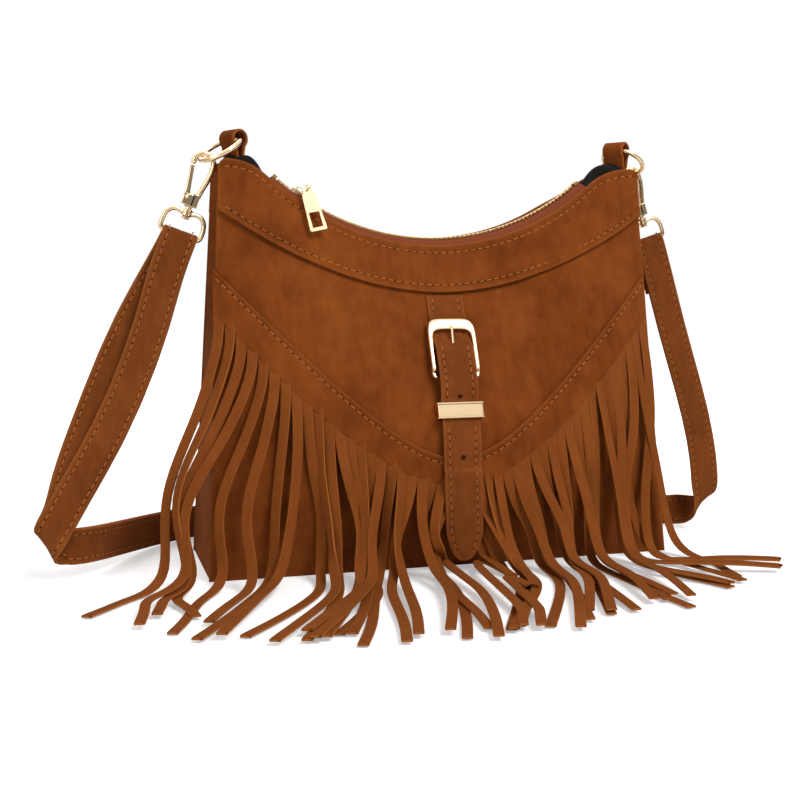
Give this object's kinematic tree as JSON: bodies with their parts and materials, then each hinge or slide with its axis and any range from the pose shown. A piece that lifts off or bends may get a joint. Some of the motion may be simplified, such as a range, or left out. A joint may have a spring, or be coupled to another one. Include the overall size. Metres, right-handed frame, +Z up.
{
  "type": "shoulder bag",
  "caption": "Soft shoulder bag with a V-shaped fringed flap, a buckled belt down the front, a zipped sagging mouth and a long strap on swivel snap hooks at rings.",
  "frame": {"origin": "middle of the base, on the floor it stands on", "axes": "+X across the bag to the right of someone facing its front, -Y out of the front, +Z up"},
  "size_m": [0.4317, 0.2834, 0.2531],
  "materials": {
    "suede": "brown suede with a short nap",
    "suede_dark": "darker brown suede",
    "gold": "polished pale gold plating",
    "tape": "woven reddish brown tape",
    "lining": "black lining cloth"
  },
  "bodies": {
    "bag": {"back_panel": "suede", "back_yoke": "suede", "base_panel": "suede", "belt_chape": "suede_dark", "belt_strap": "suede", "buckle_frame": "gold", "buckle_prong": "gold", "fringe_flap": "suede", "front_panel": "suede", "front_yoke": "suede", "gusset_left": "suede", "gusset_right": "suede", "lining": "lining", "loop_tab_left": "suede", "loop_tab_right": "suede", "strap": "suede", "strap_slider": "gold", "zip_chain": "gold", "zip_stop_left": "gold", "zip_stop_right": "gold", "zip_tape": "tape"},
    "slider": {"zip_slider": "gold"},
    "link": {"pull_link": "gold"},
    "tab": {"pull_tab": "gold"},
    "keeper": {"belt_keeper": "gold"},
    "ring_l": {"ring_left": "gold"},
    "ring_r": {"ring_right": "gold"},
    "eye_l": {"swivel_eye_left": "gold"},
    "eye_r": {"swivel_eye_right": "gold"},
    "hook_l": {"snap_hook_left": "gold"},
    "hook_r": {"snap_hook_right": "gold"},
    "gate_l": {"hook_gate_left": "gold"},
    "gate_r": {"hook_gate_right": "gold"}
  },
  "joints": [
    {"name": "zip_travel", "type": "hinge", "parent": "bag", "child": "slider", "pos_m": [0, 0, 0.338], "axis": [0, -1, 0], "range_deg": [-3.5, 70]},
    {"name": "pull_link_lift", "type": "hinge", "parent": "slider", "child": "link", "pos_m": [-0.07691, 0, 0.22018], "axis": [-0.8358, 0, 0.549], "range_deg": [0, 90]},
    {"name": "pull_tab_swing", "type": "hinge", "parent": "link", "child": "tab", "pos_m": [-0.07779, -0.0125, 0.21885], "axis": [0, -1, 0], "range_deg": [-85, 12]},
    {"name": "keeper_slide", "type": "slide", "parent": "bag", "child": "keeper", "axis": [0, 0.3004, 0.9538], "range_m": [-0.005, 0.001]},
    {"name": "ring_left_play", "type": "hinge", "parent": "bag", "child": "ring_l", "pos_m": [-0.118, 0, 0.2475], "axis": [0.4852, -0.8744, 0], "range_deg": [-0.5, 1.5]},
    {"name": "ring_right_play", "type": "hinge", "parent": "bag", "child": "ring_r", "pos_m": [0.1225, 0, 0.2475], "axis": [-0.6, 0.8, 0], "range_deg": [-0.5, 0.8]},
    {"name": "eye_left_swing", "type": "hinge", "parent": "bag", "child": "eye_l", "pos_m": [-0.1356, -0.00977, 0.23443], "axis": [0.4852, -0.8744, 0], "range_deg": [-25, 5], "deforming": ["strap"]},
    {"name": "eye_right_swing", "type": "hinge", "parent": "bag", "child": "eye_r", "pos_m": [0.1386, 0.01208, 0.23443], "axis": [0.6, -0.8, 0], "range_deg": [-5, 25], "deforming": ["strap"]},
    {"name": "hook_left_swivel", "type": "hinge", "parent": "eye_l", "child": "hook_l", "pos_m": [-0.1356, -0.00977, 0.23443], "axis": [-0.3372, 0, -0.9414], "range_deg": [-30, 6]},
    {"name": "hook_right_swivel", "type": "hinge", "parent": "eye_r", "child": "hook_r", "pos_m": [0.1386, 0.01208, 0.23443], "axis": [0.3051, 0, -0.9523], "range_deg": [-30, 1]},
    {"name": "gate_left_open", "type": "hinge", "parent": "hook_l", "child": "gate_l", "pos_m": [-0.14611, -0.00977, 0.21397], "axis": [0, 1, 0], "range_deg": [0, 20], "stiffness_Nm_per_rad": 0.01, "springref_deg": -14.32},
    {"name": "gate_right_open", "type": "hinge", "parent": "hook_r", "child": "gate_r", "pos_m": [0.1427, 0.01208, 0.2118], "axis": [0, 1, 0], "range_deg": [0, 20], "stiffness_Nm_per_rad": 0.01, "springref_deg": -14.32}
  ]
}
